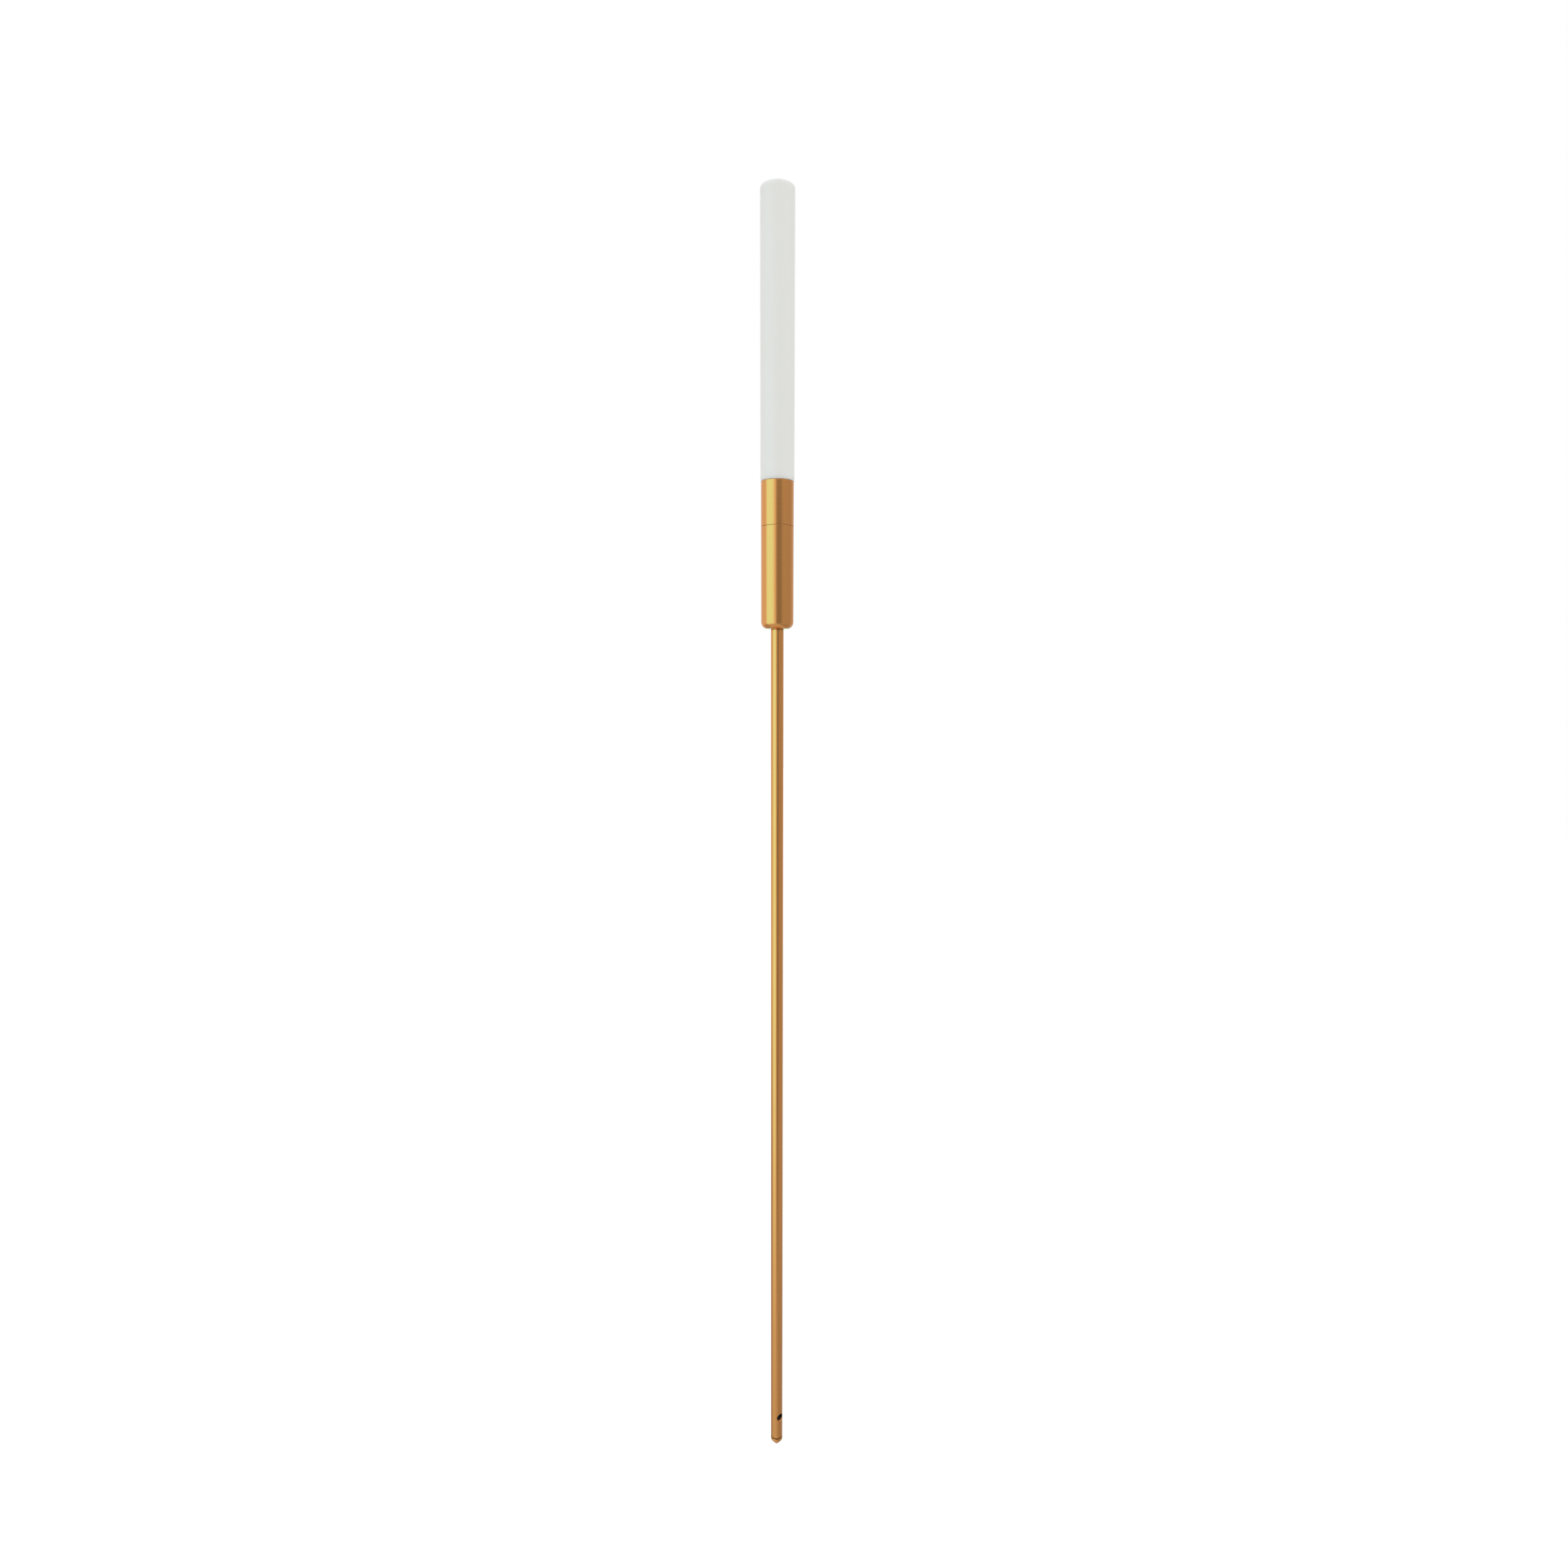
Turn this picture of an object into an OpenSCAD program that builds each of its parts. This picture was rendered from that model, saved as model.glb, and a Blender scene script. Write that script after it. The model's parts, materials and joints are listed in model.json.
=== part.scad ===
// Ribbon wand: a frosted grip, a two-piece metal ferrule with a ball-bearing swivel inside, and a
// slim tube rod that ends in a ribbon eyelet and a pointed plug.
// Millimetres. +Z runs from the pointed tip to the end of the grip, and the origin is the middle of
// the grip on the wand's axis. The eyelet is drilled along X.

/* [Grip] */
// Outer diameter of the grip tube
grip_d = 15.1; // [12.5:0.1:20]
// Length of the grip tube
grip_len = 122; // [70:1:180]
// Bore of the grip tube
grip_bore = 9; // [7.5:0.1:11]
// Length of the end plug's shank
plug_shank_len = 8; // [4:0.5:20]
// Width of the plug's head beyond its shank
plug_head_step = 1; // [0.5:0.1:1.5]
// Thickness of the plug's head
plug_head_t = 2; // [1:0.1:4]

/* [Ferrule] */
// Outer diameter of both ferrule pieces
ferrule_d = 14.7; // [12.2:0.1:20]
// Length of the collar, the upper ferrule piece
collar_len = 19.6; // [14:0.1:30]
// Length of the bearing housing, the lower ferrule piece
housing_len = 45.3; // [37:0.1:70]
// Width of the open seam between collar and housing
seam_gap = 0.1; // [0.1:0.05:0.4]
// Radius round the bottom edge of the housing
bottom_round = 3.2; // [1:0.1:4]
// Length of the collar's spigot inside the grip
spigot_len = 14; // [8:0.5:25]
// Chamfer on the turned outer edges
edge_break = 0.2; // [0.1:0.05:0.3]
// Chamfer on the two edges that meet at the seam
seam_break = 0.08; // [0.05:0.01:0.3]

/* [Rod] */
// Outer diameter of the rod tube
rod_d = 5.8; // [4.8:0.1:7]
// Wall of the rod tube
rod_wall = 0.8; // [0.6:0.05:1]
// Length of the rod tube below the housing
rod_len = 407.9; // [250:0.1:520]

/* [Tip] */
// Length of the tip plug below the rod tube
tip_len = 5.1; // [4.5:0.1:10]
// Length of the plug's pointed end
nose_len = 3.1; // [2.6:0.1:3.4]
// Radius of the round end that the cone runs into
nose_round = 1.3; // [0.8:0.1:1.5]
// Width of the groove between tube and plug
groove_w = 0.6; // [0.3:0.05:0.8]
// Depth of that groove
groove_depth = 0.35; // [0.2:0.05:0.5]
// Length of the plug's shank inside the tube
tip_shank_len = 4.2; // [3:0.1:6]
// Diameter of the stud that holds the core to the plug
stud_d = 2; // [1.5:0.1:2.2]
// Length of that stud
stud_len = 2.8; // [2:0.1:3]

/* [Eyelet] */
// Height of the eyelet above the end of the tube
eyelet_up = 11.4; // [9:0.1:16]
// Diameter of the cord hole through the core
cord_hole_d = 2.4; // [1.6:0.1:2.5]
// Diameter of the wider hole through the tube's walls
tube_hole_d = 3.4; // [2.8:0.1:3.8]
// Countersink round the tube's hole
hole_chamfer = 0.2; // [0.1:0.05:0.3]
// Length of the core above the eyelet
core_above = 5; // [3:0.5:10]

/* [Swivel bearings] */
// Bore of the ball bearings
bearing_bore = 5; // [4.1:0.1:6]
// Outer diameter of the ball bearings
bearing_od = 10; // [8.3:0.1:12]
// Width of the ball bearings
bearing_w = 4; // [3.3:0.1:5]
// Number of balls in one bearing
ball_count = 8; // [6:1:9]
// Length of the spacers between the bearings
spacer_len = 8; // [4:0.5:14]

/* [Hidden] */
$fn = 96;

// Clearances
seat_gap = 0.015; // radial, between pieces that are pressed, bonded or screwed together
run_gap = 0.1; // between pieces that turn against each other
ball_gap = 0.02; // between a ball and its grooves
pocket_gap = 0.04; // between a ball and its pocket in the cage
past = 1; // how far a cut runs past the face it opens

// Swivel details
mouth_depth = 1.4; // from the housing's top face down to the retaining ring
ring_t = 0.8; // retaining ring
ring_bite = 0.4; // how deep the ring sits in its groove
ring_opening = 36; // degrees
wave_h = 0.8; // working height of the wave washer
wave_t = 0.2;
wave_count = 3;
wave_slack = 0.01; // keeps the crests just clear of the faces they press on
shoulder_w = 0.9; // ledge under the lower bearing
ball_share = 0.6; // ball's diameter, of the depth between a bearing's bore and its rim
shim_t = 0.5;
shield_t = 0.2;
shield_inset = 0.15;
shield_bite = 0.3; // how deep a shield sits in the outer race
land_share = 1 / 3; // from the pitch circle to each race's land, of the ball's diameter
race_chamfer = 0.2;
cage_t = 0.5;
cage_rim = 0.2; // cage above and below its balls
spindle_head_t = 2;
thread_len = 12; // spindle thread inside the collar
key_flats = 2.5; // hex key that holds the spindle from above
key_depth = 2.5;
key_bore = 3.4; // way down through the spigot for that key

// Dust seal
seal_share = 0.4; // of the width of the housing's rim that it rides over
seal_depth = 0.9;

// Rod fixing
web_t = 2.6; // floor between the swivel's cavity and the rod's seat
screw_d = 2.5;
screw_head_d = 4.5;
screw_head_h = 2.5;
screw_reach = 7; // thread inside the anchor
screw_key = 2;
screw_key_depth = 1.3;
washer_d = 6;
washer_t = 0.5;
anchor_len = 10;
rod_step = 0.3; // the rod's seated end is turned down by this, so a shoulder meets the housing
head_room = 1.6; // free height between the spindle's head and the screw's head

// Glue grooves
glue_grooves = 2;
glue_groove_w = 1;
glue_groove_depth = 0.3;

// Stations along the axis, from the grip down to the tip
grip_top = grip_len / 2;
grip_bottom = -grip_len / 2;
seam_top = grip_bottom - collar_len;
housing_top = seam_top - seam_gap;
housing_bottom = housing_top - housing_len;
rod_end = housing_bottom - rod_len;
tip_end = rod_end - tip_len;
eyelet_z = rod_end + eyelet_up;

ring_top = housing_top - mouth_depth;
wave_top = ring_top - ring_t;
upper_bearing_top = wave_top - wave_h;
lower_bearing_top = upper_bearing_top - bearing_w - spacer_len;
shoulder = lower_bearing_top - bearing_w;
cavity_len = spindle_head_t + head_room + screw_head_h + washer_t;
cavity_floor = shoulder - cavity_len;
rod_seat_top = cavity_floor - web_t;

// Derived sizes
ball_d = ball_share * (bearing_od - bearing_bore) / 2;
pitch_r = (bearing_bore + bearing_od) / 4;
land = land_share * ball_d;
inner_land_r = pitch_r - land;
outer_land_r = pitch_r + land;
shield_r = outer_land_r + shield_bite;
cavity_d = bearing_od - 2 * shoulder_w;
hub_r = inner_land_r - run_gap;
spindle_r = bearing_bore / 2 - seat_gap;
spindle_head_r = inner_land_r - run_gap;
rim_r = (bearing_od + ferrule_d) / 4; // middle of the housing's rim
seal_w = seal_share * (ferrule_d - bearing_od) / 2;
rod_seat_r = rod_d / 2 - rod_step;
rod_bore = rod_d - 2 * rod_wall;
core_r = rod_bore / 2 - seat_gap;
core_bottom = rod_end + tip_shank_len;
core_top = eyelet_z + core_above;

// ---------------------------------------------------------------- shapes used more than once

// Half of a section, turned about the Z axis
module turned() {
    rotate_extrude() children();
}

// A plain rectangle of the half section, between two radii and two heights
module band(r_in, r_out, z_low, z_high) {
    translate([r_in, z_low]) square([r_out - r_in, z_high - z_low]);
}

// A solid bar's half section with a chamfer at its low and high outer edges
module bar(r, z_low, z_high, low_chamfer, high_chamfer) {
    polygon([
        [0, z_low], [r - low_chamfer, z_low], [r, z_low + low_chamfer],
        [r, z_high - high_chamfer], [r - high_chamfer, z_high], [0, z_high]
    ]);
}

// A flat ring
module ring(r_in, r_out, z_low, z_high) {
    turned() band(r_in, r_out, z_low, z_high);
}

// ---------------------------------------------------------------- grip

// Frosted tube, with a step at its far end for the plug's head
module grip_tube() {
    color([0.87, 0.875, 0.855]) turned() difference() {
        bar(grip_d / 2, grip_bottom, grip_top, edge_break, edge_break);
        band(0, grip_bore / 2, grip_bottom - past, grip_top + past);
        band(0, grip_bore / 2 + plug_head_step, grip_top - plug_head_t, grip_top + past);
    }
}

// Plug that closes the tube flush with its end face
module grip_end_plug() {
    shank_r = grip_bore / 2 - seat_gap;
    color([0.87, 0.875, 0.855]) turned() {
        bar(shank_r + plug_head_step, grip_top - plug_head_t, grip_top, 0, edge_break / 2);
        bar(shank_r, grip_top - plug_head_t - plug_shank_len, grip_top - plug_head_t, edge_break, 0);
    }
}

// ---------------------------------------------------------------- collar and spindle

// Upper ferrule piece: spigot into the grip, thread for the spindle, hub that clamps the inner races
module collar() {
    spigot_r = grip_bore / 2 - seat_gap;
    spigot_top = grip_bottom + spigot_len;
    hub_bottom = upper_bearing_top + shim_t;
    color([0.83, 0.57, 0.27]) turned() difference() {
        union() {
            bar(ferrule_d / 2, seam_top, grip_bottom, seam_break, edge_break);
            bar(spigot_r, grip_bottom, spigot_top, 0, 2 * edge_break);
            bar(hub_r, hub_bottom, seam_top, edge_break, 0);
        }
        band(0, bearing_bore / 2, hub_bottom - past, seam_top + thread_len);
        band(0, key_bore / 2, seam_top + thread_len, spigot_top + past);
        seal_groove();
        for (i = [1 : glue_grooves]) {
            low = grip_bottom + i * spigot_len / (glue_grooves + 1) - glue_groove_w / 2;
            band(spigot_r - glue_groove_depth, spigot_r + past, low, low + glue_groove_w);
        }
    }
}

// Section of the groove in the collar's lower face that holds the dust seal
module seal_groove() {
    band(rim_r - seal_w / 2, rim_r + seal_w / 2, seam_top - past, seam_top + seal_depth);
}

// Soft ring in that groove, which stands just clear of the housing's rim
module dust_seal() {
    half_w = seal_w / 2 - seat_gap;
    color([0.09, 0.09, 0.09])
        ring(rim_r - half_w, rim_r + half_w, housing_top + seam_gap / 2, seam_top + seal_depth);
}

// Headed steel pin: the inner races are clamped between its head and the collar's hub
module spindle() {
    top = seam_top + thread_len - run_gap;
    color([0.72, 0.73, 0.75]) difference() {
        turned() {
            bar(spindle_r, shoulder, top, 0, edge_break);
            bar(spindle_head_r, shoulder - spindle_head_t, shoulder, edge_break, 0);
        }
        translate([0, 0, top - key_depth]) cylinder(d = key_flats / cos(30), h = key_depth + past, $fn = 6);
    }
}

// Thin ring between the hub and the upper inner race
module hub_shim() {
    color([0.75, 0.76, 0.78])
        ring(bearing_bore / 2, hub_r, upper_bearing_top, upper_bearing_top + shim_t);
}

// Sleeve between the two inner races
module inner_spacer() {
    color([0.72, 0.73, 0.75])
        ring(bearing_bore / 2, hub_r, lower_bearing_top, lower_bearing_top + spacer_len);
}

// ---------------------------------------------------------------- ball bearings
// Each piece is drawn with its bearing's top face at the given height.

// Section of the round groove that the balls run in
module ball_groove(top) {
    translate([pitch_r, top - bearing_w / 2]) circle(r = ball_d / 2 + ball_gap);
}

module inner_race(top) {
    bore_r = bearing_bore / 2;
    color([0.78, 0.79, 0.81]) turned() difference() {
        band(bore_r, inner_land_r, top - bearing_w, top);
        polygon([[bore_r, top], [bore_r + race_chamfer, top], [bore_r, top - race_chamfer]]);
        translate([0, top - bearing_w])
            polygon([[bore_r, 0], [bore_r + race_chamfer, 0], [bore_r, race_chamfer]]);
        ball_groove(top);
    }
}

module outer_race(top) {
    r_out = bearing_od / 2;
    recess = shield_inset + shield_t;
    color([0.78, 0.79, 0.81]) turned() difference() {
        band(outer_land_r, r_out, top - bearing_w, top);
        polygon([[r_out, top], [r_out - race_chamfer, top], [r_out, top - race_chamfer]]);
        translate([0, top - bearing_w])
            polygon([[r_out, 0], [r_out - race_chamfer, 0], [r_out, race_chamfer]]);
        band(0, shield_r, top - recess, top + past);
        band(0, shield_r, top - bearing_w - past, top - bearing_w + recess);
        ball_groove(top);
    }
}

// Two thin covers, one at each face, fixed in the outer race
module shields(top) {
    inset = shield_inset + shield_t;
    color([0.70, 0.71, 0.73]) for (low = [top - inset, top - bearing_w + shield_inset]) {
        ring(inner_land_r + run_gap, shield_r - seat_gap, low, low + shield_t);
    }
}

// Puts a copy at each ball's place round the pitch circle
module at_each_ball(top) {
    for (i = [0 : ball_count - 1]) {
        rotate([0, 0, i * 360 / ball_count]) translate([pitch_r, 0, top - bearing_w / 2]) children();
    }
}

module balls(top) {
    color([0.85, 0.86, 0.88]) at_each_ball(top) sphere(d = ball_d);
}

// Ring with a pocket for each ball
module cage(top) {
    middle = top - bearing_w / 2;
    half_h = ball_d / 2 + cage_rim;
    color([0.62, 0.50, 0.26]) difference() {
        ring(pitch_r - cage_t / 2, pitch_r + cage_t / 2, middle - half_h, middle + half_h);
        at_each_ball(top) sphere(d = ball_d + 2 * pocket_gap);
    }
}

// ---------------------------------------------------------------- housing and what it holds

// Lower ferrule piece: a cup for the bearings, with a rounded bottom and a seat for the rod
module housing() {
    r = ferrule_d / 2;
    bearing_r = bearing_od / 2 + seat_gap;
    color([0.83, 0.57, 0.27]) turned() difference() {
        union() {
            bar(r, housing_bottom + bottom_round, housing_top, 0, seam_break);
            band(0, r - bottom_round, housing_bottom, housing_top - seam_break);
            intersection() {
                translate([r - bottom_round, housing_bottom + bottom_round]) circle(r = bottom_round);
                band(0, r, housing_bottom, housing_top);
            }
        }
        band(0, bearing_r, shoulder, housing_top + past);
        band(0, bearing_r + ring_bite, wave_top, ring_top);
        band(0, cavity_d / 2, cavity_floor, shoulder + past);
        band(0, screw_d / 2 + run_gap, rod_seat_top - past, cavity_floor + past);
        band(0, rod_seat_r + seat_gap, housing_bottom - past, rod_seat_top);
    }
}

// Split ring that snaps into the housing's groove above the bearings
module retaining_ring() {
    r_out = bearing_od / 2 + ring_bite - seat_gap;
    r_in = outer_land_r + seat_gap;
    color([0.55, 0.56, 0.58]) translate([0, 0, wave_top])
        rotate([0, 0, ring_opening / 2])
            rotate_extrude(angle = 360 - ring_opening) band(r_in, r_out, 0, ring_t);
}

// Point k of the wave washer's section at a turn of a degrees: inner low, outer low, outer high, inner high
function wave_point(a, k) =
    let (
        middle = wave_top - wave_h / 2,
        swing = (wave_h - wave_t) / 2 - wave_slack,
        r = (k == 0 || k == 3) ? outer_land_r + run_gap : bearing_od / 2 - run_gap,
        z = middle + swing * sin(wave_count * a) + (k < 2 ? -wave_t / 2 : wave_t / 2)
    )
    [r * cos(a), r * sin(a), z];

// Springy wavy ring that presses the bearings down on the shoulder
module wave_washer() {
    steps = 48;
    sides = 4;
    points = [for (i = [0 : steps - 1]) for (k = [0 : sides - 1]) wave_point(i * 360 / steps, k)];
    quads = [for (i = [0 : steps - 1]) for (k = [0 : sides - 1]) [
        i * sides + k,
        i * sides + (k + 1) % sides,
        ((i + 1) % steps) * sides + (k + 1) % sides,
        ((i + 1) % steps) * sides + k
    ]];
    color([0.60, 0.61, 0.64]) polyhedron(points = points, faces = quads, convexity = 4);
}

// Sleeve between the two outer races
module outer_spacer() {
    color([0.80, 0.80, 0.80])
        ring(outer_land_r, bearing_od / 2, lower_bearing_top, lower_bearing_top + spacer_len);
}

// ---------------------------------------------------------------- rod

// Cutter for the tube's cross hole, countersunk where it meets the outside
module cross_hole() {
    translate([0, 0, eyelet_z]) rotate([0, 90, 0]) {
        cylinder(d = tube_hole_d, h = 2 * rod_d, center = true);
        for (side = [0, 180]) {
            rotate([side, 0, 0]) translate([0, 0, rod_d / 2 - rod_wall])
                cylinder(
                    d1 = tube_hole_d - 2 * hole_chamfer, d2 = tube_hole_d + 2 * hole_chamfer, h = rod_wall
                );
        }
    }
}

// Thin tube with a shoulder that meets the housing, cross-drilled near its other end
module rod_tube() {
    color([0.83, 0.57, 0.27]) difference() {
        turned() difference() {
            union() {
                bar(rod_d / 2, rod_end, housing_bottom, edge_break / 2, 0);
                bar(rod_seat_r, housing_bottom, rod_seat_top, 0, edge_break);
            }
            band(0, rod_bore / 2, rod_end - past, rod_seat_top + past);
        }
        cross_hole();
    }
}

// Tapped insert bonded in the rod's upper end
module rod_anchor() {
    color([0.80, 0.66, 0.34])
        ring(screw_d / 2 + seat_gap, core_r, rod_seat_top - anchor_len, rod_seat_top);
}

// Flat washer under the screw's head
module rod_washer() {
    color([0.75, 0.76, 0.78])
        ring(screw_d / 2 + run_gap, washer_d / 2, cavity_floor, cavity_floor + washer_t);
}

// Socket-head screw that pulls the rod up against the housing's web
module rod_screw() {
    head_bottom = cavity_floor + washer_t;
    color([0.30, 0.30, 0.32]) difference() {
        turned() {
            bar(screw_head_d / 2, head_bottom, head_bottom + screw_head_h, 0, edge_break);
            bar(screw_d / 2, rod_seat_top - screw_reach, head_bottom, edge_break, 0);
        }
        translate([0, 0, head_bottom + screw_head_h - screw_key_depth])
            cylinder(d = screw_key / cos(30), h = screw_key_depth + past, $fn = 6);
    }
}

// Nylon core inside the tube: the ribbon's cord passes through it and never touches the metal edge
module tip_core() {
    color([0.05, 0.05, 0.05]) difference() {
        turned() difference() {
            bar(core_r, core_bottom, core_top, edge_break, edge_break);
            band(0, stud_d / 2 + seat_gap, core_bottom - past, core_bottom + stud_len + run_gap);
        }
        translate([0, 0, eyelet_z]) rotate([0, 90, 0])
            cylinder(d = cord_hole_d, h = 2 * rod_d, center = true);
    }
}

// Section of the plug's end: a cone whose flank is tangent to the round end
module nose_section() {
    edge = tip_end + nose_len;
    centre = tip_end + nose_round;
    to_edge = [rod_d / 2, edge - centre];
    tangent = atan2(to_edge[1], to_edge[0]) - acos(nose_round / norm(to_edge));
    polygon([
        [0, centre],
        [nose_round * cos(tangent), centre + nose_round * sin(tangent)],
        [rod_d / 2, edge],
        [0, edge]
    ]);
    intersection() {
        translate([0, centre]) circle(r = nose_round);
        band(0, nose_round, tip_end, edge);
    }
}

// Pointed plug: stud into the core, shank in the tube, a groove, a short land and the nose
module tip_plug() {
    r = rod_d / 2;
    color([0.83, 0.57, 0.27]) turned() {
        bar(stud_d / 2, core_bottom, core_bottom + stud_len, 0, edge_break);
        bar(core_r, rod_end, core_bottom, 0, edge_break);
        bar(r - groove_depth, rod_end - groove_w, rod_end, 0, 0);
        bar(r, tip_end + nose_len, rod_end - groove_w, 0, edge_break / 2);
        nose_section();
    }
}

grip_tube();
grip_end_plug();
collar();
spindle();
hub_shim();
inner_spacer();
dust_seal();
inner_race(upper_bearing_top);  // upper_bearing_inner_race
inner_race(lower_bearing_top);  // lower_bearing_inner_race
balls(upper_bearing_top);  // upper_bearing_balls
cage(upper_bearing_top);  // upper_bearing_cage
balls(lower_bearing_top);  // lower_bearing_balls
cage(lower_bearing_top);  // lower_bearing_cage
housing();
retaining_ring();
wave_washer();
outer_spacer();
outer_race(upper_bearing_top);  // upper_bearing_outer_race
outer_race(lower_bearing_top);  // lower_bearing_outer_race
shields(upper_bearing_top);  // upper_bearing_shields
shields(lower_bearing_top);  // lower_bearing_shields
rod_tube();
rod_anchor();
rod_screw();
rod_washer();
tip_core();
tip_plug();
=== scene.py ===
# %% [markdown]
# # A ribbon wand: frosted grip, gold ferrule, long gold rod
#
# The wand is the stick that a gymnastics ribbon is tied to. A frosted acrylic grip sits on a gold
# anodised ferrule of two parts. The lower part turns on two small ball bearings hidden inside it and
# carries a thin gold rod, which ends in a black-lined hole for the ribbon's cord and a pointed plug.
# Almost every piece came off a lathe, so this lesson builds one lathe and feeds it one outline a piece.
# The engineering model is loaded first: it fixes where each piece is and how big it is.

# %% Load the frame
import json
import math
import bmesh
import bpy
from mathutils import Matrix, Vector


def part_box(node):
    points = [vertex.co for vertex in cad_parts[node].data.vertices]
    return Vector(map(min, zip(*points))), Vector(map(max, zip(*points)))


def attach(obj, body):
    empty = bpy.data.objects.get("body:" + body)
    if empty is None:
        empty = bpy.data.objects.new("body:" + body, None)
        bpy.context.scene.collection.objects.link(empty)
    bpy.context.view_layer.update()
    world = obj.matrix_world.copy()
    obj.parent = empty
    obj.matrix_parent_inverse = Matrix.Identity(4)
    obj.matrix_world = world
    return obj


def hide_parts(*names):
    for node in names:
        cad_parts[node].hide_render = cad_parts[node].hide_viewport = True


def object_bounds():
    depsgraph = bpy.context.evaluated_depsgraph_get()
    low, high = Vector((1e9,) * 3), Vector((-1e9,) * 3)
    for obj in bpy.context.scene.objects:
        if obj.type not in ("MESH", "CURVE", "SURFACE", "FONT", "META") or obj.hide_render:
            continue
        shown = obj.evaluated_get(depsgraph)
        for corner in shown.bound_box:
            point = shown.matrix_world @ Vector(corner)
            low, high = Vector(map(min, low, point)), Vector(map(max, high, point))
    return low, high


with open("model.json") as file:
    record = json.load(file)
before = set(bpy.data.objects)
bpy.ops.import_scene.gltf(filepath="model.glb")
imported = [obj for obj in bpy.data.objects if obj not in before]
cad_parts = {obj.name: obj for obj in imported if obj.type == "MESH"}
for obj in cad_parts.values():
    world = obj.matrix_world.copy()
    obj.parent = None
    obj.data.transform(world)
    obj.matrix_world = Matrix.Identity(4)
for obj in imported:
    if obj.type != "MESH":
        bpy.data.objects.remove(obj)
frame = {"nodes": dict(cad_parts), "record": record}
cad_low, cad_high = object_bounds()
MM = 0.001
print("the wand is", round((cad_high.z - cad_low.z) / MM, 1), "mm long")

# %% [markdown]
# The outside of a turned piece is described by three numbers that the frame already knows: how low it
# reaches, how high, and its largest radius. The outlines below read them, so they follow a longer or
# thicker wand. The frame doesn't give bores and grooves, so each has a named value where it is cut.


# %% Read sizes from the frame
def low(node):
    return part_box(node)[0].z


def high(node):
    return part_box(node)[1].z


def radius(node):
    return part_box(node)[1].x


for name in ("grip_tube", "collar", "housing", "rod_tube", "tip_plug"):
    size = [round(value / MM, 2) for value in (low(name), high(name), 2 * radius(name))]
    print(name, "from", size[0], "to", size[1], "mm, diameter", size[2], "mm")

# %% [markdown]
# Every material and every geometry tree below is a set of nodes, and one small function adds a node,
# sets its options and fills its inputs. An input may be a number, a colour or another node's output,
# and it is named by its label or by its place in the list.


# %% Add one node
def add(tree, kind, options=None, inputs=None):
    node = tree.nodes.new(kind)
    for name, value in (options or {}).items():
        setattr(node, name, value)
    for name, value in (inputs or {}).items():
        socket = node.inputs[name]
        if isinstance(value, bpy.types.NodeSocket):
            tree.links.new(value, socket)
        else:
            socket.default_value = value
    return node


# %% [markdown]
# A colour chosen on a screen is in sRGB, but light is added up in linear values. This function
# turns a hex colour into the linear one that a shader needs.


# %% Turn a hex colour linear
def colour(hex_code):
    parts = [int(hex_code[i : i + 2], 16) / 255 for i in (1, 3, 5)]
    linear = [c / 12.92 if c <= 0.04045 else ((c + 0.055) / 1.055) ** 2.4 for c in parts]
    return (*linear, 1.0)


print("mid grey #808080 is", round(colour("#808080")[0], 3), "in linear light")

# %% [markdown]
# Each metal surface here carries the marks of how it was made. A lathe tool leaves rings, so their
# pattern changes mostly along the axis, and a drawn tube has faint lines along it, so its pattern
# changes mostly round the axis. Both come from one noise, squeezed by a Mapping node: the pitch in
# millimetres along each axis says how wide a mark is.


# %% Squeezed noise for tool marks
FINE_DETAIL = 3.0
BROAD_DETAIL = 1.0


def marks(tree, pitch_mm, detail=FINE_DETAIL):
    place = add(tree, "ShaderNodeTexCoord").outputs["Object"]
    scale = Vector([1 / (pitch * MM) for pitch in pitch_mm])
    mapping = {"Vector": place, "Scale": scale}
    squeezed = add(tree, "ShaderNodeMapping", inputs=mapping).outputs[0]
    noise = {"Vector": squeezed, "Scale": 1.0, "Detail": detail}
    return add(tree, "ShaderNodeTexNoise", inputs=noise).outputs[0]


print("noise detail:", FINE_DETAIL, "for tool marks,", BROAD_DETAIL, "for broad changes of colour")

# %% [markdown]
# Three more helpers keep the trees readable: one does arithmetic, one fades from 0 to 1 between two
# values, and one blends two colours. A colour Mix node has a set of sockets for each kind of value, all
# with the same labels, so its sockets are named by their places.


# %% Sums, fades and blends
MIX_FACTOR, MIX_FIRST, MIX_SECOND, MIX_COLOUR = 0, 6, 7, 2


def number(tree, operation, first, second=0.0, third=0.0):
    inputs = {0: first, 1: second, 2: third}
    return add(tree, "ShaderNodeMath", {"operation": operation}, inputs).outputs[0]


def smooth_step(tree, value, start, end):
    options = {"interpolation_type": "SMOOTHSTEP"}
    inputs = {"Value": value, "From Min": start, "From Max": end}
    return add(tree, "ShaderNodeMapRange", options, inputs).outputs[0]


def mixed(tree, factor, first, second):
    inputs = {MIX_FACTOR: factor, MIX_FIRST: first, MIX_SECOND: second}
    return add(tree, "ShaderNodeMix", {"data_type": "RGBA"}, inputs).outputs[MIX_COLOUR]


print("two colours go into sockets", MIX_FIRST, "and", MIX_SECOND, "of a Mix node")

# %% [markdown]
# A finish is built the same way for every metal: two close colours blended by a broad, soft pattern,
# a roughness that wanders a little with the marks, and a bump about as deep as real marks are. What
# differs from one metal to the next is the colour, the roughness and the size of the marks.
#
# On the pieces that are handled, the colour is also darkened where a cloth can't reach, such as a seam
# or a groove: this is painted shade. Ambient Occlusion finds those places: it says how much of the sky
# a point can see within a short distance.


# %% Finish a metal
MARK_RANGE = (0.3, 0.7)  # the noise seldom goes outside this
CORNER_SAMPLES = 8
CORNER_FADE = (0.3, 0.95)
# Painted shade: the near-black brown that seams and grooves are darkened to.
CORNER_SHADE_COLOUR = "#22150B"


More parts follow.
